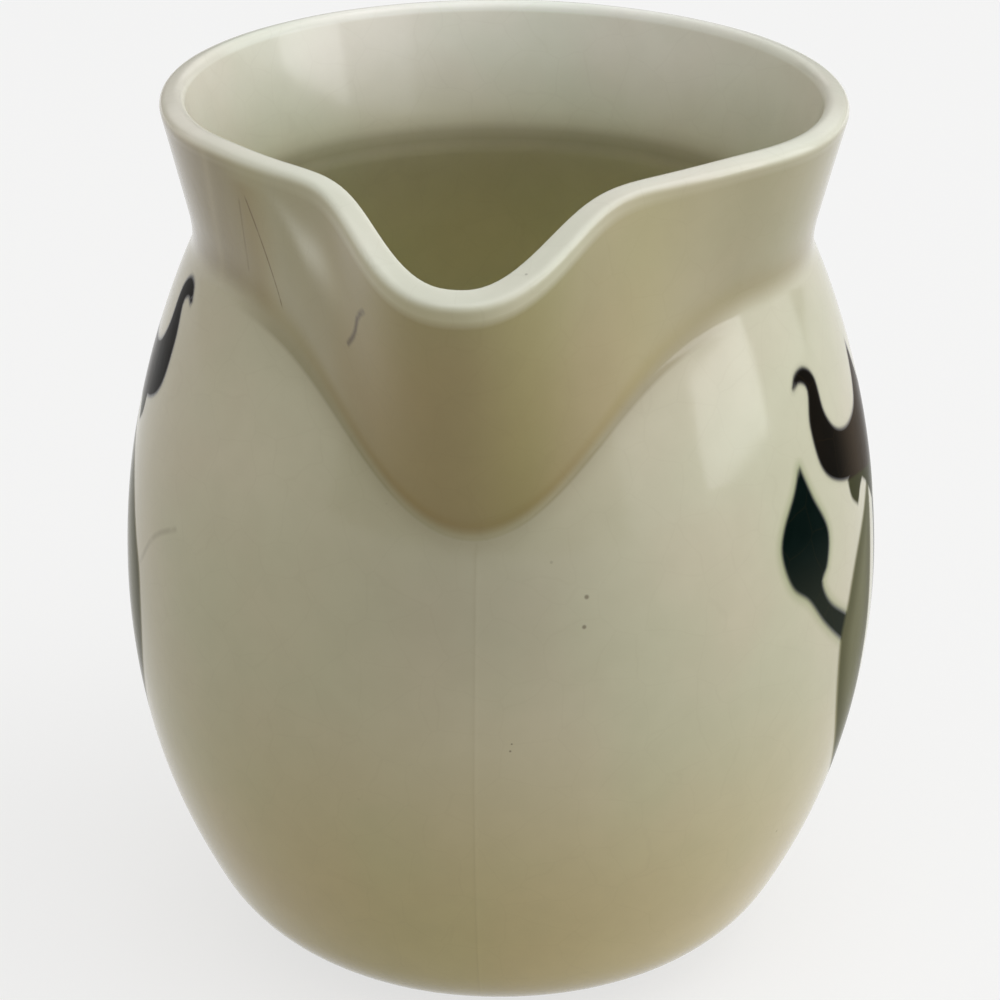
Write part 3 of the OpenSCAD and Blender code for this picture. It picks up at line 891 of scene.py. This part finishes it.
def ornament_colours(tree, place, colour):
    """Sprays the leaves, blades, sepals and petals over the cream, each with its soft green or grey edge."""
    petal, leaf = distance_map(tree, "petal"), distance_map(tree, "leaf")
    blade, sepal = distance_map(tree, "blade"), distance_map(tree, "sepal")
    halo = blend(tree, step_between(tree, leaf, *LEAF_HALO_SOFT), WHITE, LEAF_HALO)
    colour = blend(tree, 1.0, colour, halo, "MULTIPLY")
    halo = blend(tree, step_between(tree, petal, *PETAL_HALO_SOFT), WHITE, PETAL_HALO)
    colour = blend(tree, 1.0, colour, halo, "MULTIPLY")
    thin = step_between(tree, noise(tree, place, SPRAY_SCALE, 3), *SPRAY_RANGE)
    height = node(tree, "ShaderNodeSeparateXYZ", {0: place}).outputs["Z"]
    shade = blend(tree, thin, LEAF_DARK, LEAF_THIN)
    # Paler lower part of the leaf: a painted reflection.
    shade = blend(tree, step_between(tree, height, *LEAF_FADE), shade, LEAF_LOW_REFLECTION)
    colour = blend(tree, step_between(tree, leaf, *LEAF_SOFT), colour, shade)
    green = blend(tree, step_between(tree, blade, *BLADE_CORE), BLADE_EDGE, BLADE_MIDDLE)
    colour = blend(tree, step_between(tree, blade, *BLADE_SOFT), colour, green)
    colour = blend(tree, step_between(tree, sepal, *SEPAL_SOFT), colour, SEPAL_GREEN)
    shade = blend(tree, thin, PETAL_DARK, PETAL_THIN)
    shade = blend(tree, step_between(tree, distance_map(tree, "axis"), *PETAL_CORE), shade, PETAL_WARM)
    return blend(tree, step_between(tree, petal, *PETAL_SOFT), colour, shade)


def thin_colours(tree, place, colour):
    """The tendril, the hairlines and the crack, broken here and there and fading at their ends."""
    broken = step_between(tree, noise(tree, place, BREAK_SCALE), *BREAK_RANGE)
    for name, (wide, strength, tint) in THIN_LOOKS.items():
        line = step_between(tree, calc(tree, "ABSOLUTE", distance_map(tree, name)), wide, 0.0)
        ends = step_between(tree, distance_map(tree, name + "_end"), *END_SOFT)
        line = times(tree, times(tree, line, ends), broken)
        colour = blend(tree, times(tree, line, strength), colour, tint)
    return colour


def mark_colours(tree, place, colour):
    """The seam, the thin marks, the iron specks and a few finer dots."""
    seam = step_between(tree, distance_map(tree, "seam"), *SEAM_SOFT)
    colour = blend(tree, times(tree, seam, SEAM_STRENGTH), colour, HAIR_BROWN)
    colour = thin_colours(tree, place, colour)
    for angle, height, size in SPECKS:
        centre = tuple(around(angle, body_radius(height, 0), height) * MM)
        gap = node(tree, "ShaderNodeVectorMath", {0: place, 1: centre}, operation="DISTANCE")
        spot = step_between(tree, gap.outputs["Value"], size * MM, size * MM * SPECK_CORE)
        colour = blend(tree, times(tree, spot, SPECK_STRENGTH), colour, SPECK_BROWN)
    cells = node(tree, "ShaderNodeTexVoronoi", {"Vector": place, "Scale": DOT_SCALE})
    rare = step_between(tree, cells.outputs["Color"], *DOT_RARE)
    dot = times(tree, step_between(tree, cells.outputs["Distance"], *DOT_RANGE), rare)
    return blend(tree, times(tree, dot, DOT_STRENGTH), colour, SPECK_BROWN)


def craze(tree, place):
    """Thin lines of a net of cracks in the glaze, 1 on a line."""
    bent = noise(tree, place, NET_BENDS, 2, "Color")
    moved = node(tree, "ShaderNodeMix", {0: NET_BEND, 4: place, 5: bent}, data_type="VECTOR").outputs[1]
    inputs = {"Vector": moved, "Scale": NET_SCALE}
    cells = node(tree, "ShaderNodeTexVoronoi", inputs, feature="DISTANCE_TO_EDGE")
    return step_between(tree, cells.outputs["Distance"], *NET_RANGE)


def ranged(tree, value, from_min, from_max, to_min, to_max, kind="LINEAR"):
    inputs = {"Value": value, "From Min": from_min, "From Max": from_max, "To Min": to_min, "To Max": to_max}
    return node(tree, "ShaderNodeMapRange", inputs, interpolation_type=kind).outputs[0]


def bumped(tree, height, strength, depth):
    inputs = {"Height": height, "Strength": strength, "Distance": depth}
    return node(tree, "ShaderNodeBump", inputs).outputs[0]


def glaze_gloss(tree, place):
    """Full gloss on the glaze, and little where it is painted."""
    painted = distance_map(tree, "petal")
    for name in ("leaf", "blade", "sepal"):
        painted = calc(tree, "MINIMUM", painted, distance_map(tree, name))
    side = node(tree, "ShaderNodeSeparateXYZ", {0: place}).outputs["X"]
    dull = ranged(tree, side, -GLOSS_SPAN, GLOSS_SPAN, LEFT_GLOSS, RIGHT_GLOSS)
    return ranged(tree, painted, *PAINT_SOFT, dull, GLAZE_GLOSS, "SMOOTHSTEP")


def glaze_material():
    """The crazed ivory glaze with its ornament and its marks of age."""
    material, tree, shader = new_material("ivory_glaze")
    place = node(tree, "ShaderNodeTexCoord").outputs["Object"]
    tone = node(tree, "ShaderNodeAttribute", attribute_name="tone").outputs["Color"]
    colour = mottled(tree, place, tone)
    colour = ornament_colours(tree, place, colour)
    colour = mark_colours(tree, place, colour)
    net = times(tree, craze(tree, place), NET_STRENGTH)
    colour = blend(tree, net, colour, HAIR_BROWN)
    polish = ranged(tree, noise(tree, place, POLISH_SCALE, 3), 0.0, 1.0, *POLISH_RANGE)
    peel = noise(tree, place, PEEL_SCALE, 2)
    shader.inputs["IOR"].default_value = GLAZE_IOR
    tree.links.new(colour, shader.inputs["Base Color"])
    tree.links.new(glaze_gloss(tree, place), shader.inputs["Specular IOR Level"])
    tree.links.new(polish, shader.inputs["Roughness"])
    tree.links.new(bumped(tree, peel, PEEL_STRENGTH, PEEL_DEPTH), shader.inputs["Normal"])
    return material


def clay_material():
    """Bare buff clay: matt, clouded and open-pored, with darker grains."""
    material, tree, shader = new_material("bare_clay")
    place = node(tree, "ShaderNodeTexCoord").outputs["Object"]
    cloud = step_between(tree, noise(tree, place, CLAY_SCALE, 4), *CLAY_RANGE)
    colour = blend(tree, cloud, CLAY_DARK, CLAY_PALE)
    grains = node(tree, "ShaderNodeTexVoronoi", {"Vector": place, "Scale": GRAIN_SCALE})
    grain = step_between(tree, grains.outputs["Distance"], *GRAIN_RANGE)
    colour = blend(tree, times(tree, grain, GRAIN_STRENGTH), colour, GRAIN_BROWN)
    pores = noise(tree, place, PORE_SCALE, 3)
    shader.inputs["Roughness"].default_value = CLAY_ROUGHNESS
    tree.links.new(colour, shader.inputs["Base Color"])
    tree.links.new(bumped(tree, pores, PORE_STRENGTH, PORE_DEPTH), shader.inputs["Normal"])
    return material


# Stage

FLOOR_SEEN, FLOOR_GLOW = (0.26, 0.26, 0.262, 1), (0.70, 0.70, 0.702, 1)
FLOOR_FELT, FLOOR_HALF = (0.42, 0.37, 0.20, 1), 4.0
WORLD_GREY = (0.258, 0.252, 0.228, 1)

# Soft boxes: name, azimuth from the spout, elevation, width, height, watts and colour
LIGHT_AWAY = 4.0
LIGHTS = (
    ("ceiling", 70, 79, 3.0, 3.0, 27, (0.98, 1.0, 1.0)),
    ("front_high", 0, 62, 2.8, 2.8, 22, (1.0, 1.0, 1.0)),
    ("window_row", 84, 17, 7.2, 2.6, 61, (0.98, 1.0, 1.02)),
    ("window_pane", 83, 8, 2.0, 1.0, 19, (0.98, 1.0, 1.02)),
    ("window_high", 90, 50, 3.0, 3.0, 34, (0.98, 1.0, 1.0)),
    ("left_row", 272, 17, 7.0, 2.6, 29, (1.0, 0.97, 0.94)),
    ("back_high", 185, 36, 5.0, 2.4, 16, (1.0, 1.0, 1.0)),
)


def seen_or_felt(tree, seen, felt, output):
    """Shows one shader to the eye and in reflections, and the other to light that bounces."""
    path = node(tree, "ShaderNodeLightPath").outputs
    direct = calc(tree, "MAXIMUM", path["Is Camera Ray"], path["Is Glossy Ray"])
    any_of = calc(tree, "MAXIMUM", direct, path["Is Transmission Ray"])
    mix = node(tree, "ShaderNodeMixShader", {0: any_of, 1: felt, 2: seen})
    tree.links.new(mix.outputs[0], output)


def make_floor():
    mesh = bpy.data.meshes.new("floor")
    corners = [(x * FLOOR_HALF, y * FLOOR_HALF, 0) for x, y in ((-1, -1), (1, -1), (1, 1), (-1, 1))]
    mesh.from_pydata(corners, [], [(0, 1, 2, 3)])
    floor = bpy.data.objects.new("floor", mesh)
    bpy.context.scene.collection.objects.link(floor)
    material = bpy.data.materials.new("pale_floor")
    material.use_nodes = True
    tree = material.node_tree
    tree.nodes.remove(tree.nodes["Principled BSDF"])
    lit = node(tree, "ShaderNodeBsdfDiffuse", {"Color": FLOOR_SEEN}).outputs[0]
    glow = node(tree, "ShaderNodeEmission", {"Color": FLOOR_GLOW}).outputs[0]
    seen = node(tree, "ShaderNodeAddShader", {0: lit, 1: glow})
    felt = node(tree, "ShaderNodeBsdfDiffuse", {"Color": FLOOR_FELT})
    seen_or_felt(tree, seen.outputs[0], felt.outputs[0], tree.nodes["Material Output"].inputs["Surface"])
    mesh.materials.append(material)


def make_world():
    world = bpy.data.worlds.new("studio")
    bpy.context.scene.world = world
    world.use_nodes = True
    world.node_tree.nodes["Background"].inputs["Color"].default_value = WORLD_GREY


def soft_light(name, azimuth, elevation, width, tall, power, colour):
    """A soft box that faces the pot, at an azimuth from the spout and an elevation, in degrees."""
    data = bpy.data.lights.new(name, "AREA")
    data.shape = "RECTANGLE"
    data.size = width
    data.size_y = tall
    data.energy = power
    data.color = colour
    lamp = bpy.data.objects.new(name, data)
    round_axis = Matrix.Rotation(math.radians(azimuth), 4, "Z")
    tilt = Matrix.Rotation(math.radians(90 - elevation), 4, "X")
    middle, away = Matrix.Translation((0, 0, BELLY_Z * MM)), Matrix.Translation((0, 0, LIGHT_AWAY))
    lamp.matrix_world = middle @ round_axis @ tilt @ away
    bpy.context.scene.collection.objects.link(lamp)


def make_lights():
    for light in LIGHTS:
        soft_light(*light)


# Camera, fitted to the photograph's outline

CAMERA_AWAY, CAMERA_UP = 0.600, 0.34553
CAMERA_AZIMUTH, CAMERA_PITCH, CAMERA_ROLL, CAMERA_YAW = 4.4, 23.3438, 0.47, 0.016
CAMERA_LENS, SENSOR = 124.014, 36.0


def make_camera():
    data = bpy.data.cameras.new("camera")
    data.sensor_fit = "HORIZONTAL"
    data.sensor_width = SENSOR
    data.lens = CAMERA_LENS
    data.clip_start = 0.01
    camera = bpy.data.objects.new("camera", data)
    azimuth = math.radians(CAMERA_AZIMUTH)
    right, back = CAMERA_AWAY * math.sin(azimuth), CAMERA_AWAY * math.cos(azimuth)
    place = Matrix.Translation((right, -back, CAMERA_UP))
    turn = Matrix.Rotation(azimuth + math.radians(CAMERA_YAW), 4, "Z")
    tilt = Matrix.Rotation(math.radians(90 - CAMERA_PITCH), 4, "X")
    roll = Matrix.Rotation(math.radians(CAMERA_ROLL), 4, "Z")
    camera.matrix_world = place @ turn @ tilt @ roll
    bpy.context.scene.collection.objects.link(camera)
    bpy.context.scene.camera = camera


def dress(piece, material, slot, *nodes):
    piece.data.materials.append(material)
    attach(piece, "root")
    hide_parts(*nodes)


bpy.context.scene.view_settings.view_transform = "Standard"
make_camera()
make_world()
make_floor()
make_lights()

glaze = glaze_material()
dress(make_pot(), glaze, "ivory_glaze", "body_left_half", "body_right_half", "front_seam_slip",
      "back_seam_slip", "base_floor", "neck_collar", "spout")
dress(make_handle(), glaze, "ivory_glaze", "handle_grip", "handle_upper_terminal", "handle_lower_terminal")
dress(make_foot(), clay_material(), "bare_clay", "foot_ring")
